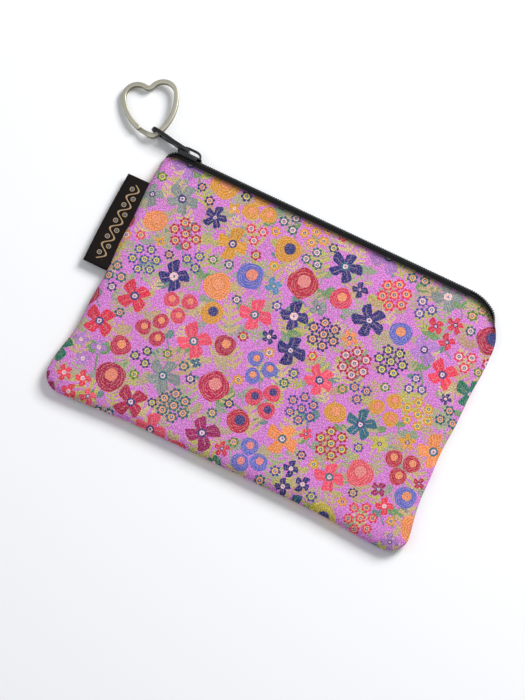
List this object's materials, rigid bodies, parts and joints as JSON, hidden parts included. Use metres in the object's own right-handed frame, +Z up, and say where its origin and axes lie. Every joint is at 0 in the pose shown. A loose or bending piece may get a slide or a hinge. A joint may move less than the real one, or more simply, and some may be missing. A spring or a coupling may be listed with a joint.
{
  "type": "zippered pouch",
  "caption": "Flat rectangular cloth pouch with a coil zip along its long edge, a swinging pull with a heart-shaped split ring, and a folded side label.",
  "frame": {"origin": "middle of the back panel's flat outer face, which the pouch rests on", "axes": "+X along the zip towards its open end, +Y out through the zip, +Z up from the back panel to the front panel"},
  "size_m": [0.2107, 0.1562, 0.0076],
  "materials": {
    "print_cotton": "printed cotton canvas, matt, fine weave",
    "interlining": "woven interlining, undyed",
    "lining_cloth": "plain cotton lining",
    "zip_tape": "woven polyester tape, matt black",
    "zip_coil": "nylon coil, black, slight sheen",
    "sewing_thread": "polyester thread",
    "black_enamel": "baked black enamel on cast zinc, semi-gloss",
    "nickel_wire": "satin nickel plate on steel wire",
    "woven_label": "folded damask-woven label, dark brown"
  },
  "bodies": {
    "pouch": {"front_panel": "print_cotton", "back_panel": "print_cotton", "front_interlining": "interlining", "back_interlining": "interlining", "front_lining": "lining_cloth", "back_lining": "lining_cloth", "front_zip_tape": "zip_tape", "back_zip_tape": "zip_tape", "front_zip_coil": "zip_coil", "back_zip_coil": "zip_coil", "front_coil_thread": "sewing_thread", "back_coil_thread": "sewing_thread", "bag_seam_thread": "sewing_thread", "side_label": "woven_label"},
    "slider": {"slider_body": "black_enamel"},
    "pull": {"pull_tab": "black_enamel"},
    "ring": {"heart_ring": "nickel_wire"}
  },
  "joints": [
    {"name": "zip_slide", "type": "slide", "parent": "pouch", "child": "slider", "axis": [1, 0, 0], "range_m": [0, 0.139]},
    {"name": "pull_swing", "type": "hinge", "parent": "slider", "child": "pull", "pos_m": [-0.0793, 0.06515, 0.0038], "axis": [0, 0, 1], "range_deg": [-115, 0]},
    {"name": "ring_flip", "type": "hinge", "parent": "pull", "child": "ring", "pos_m": [-0.09572, 0.0676, 0.0038], "axis": [0, 1, 0], "range_deg": [0, 120]}
  ]
}
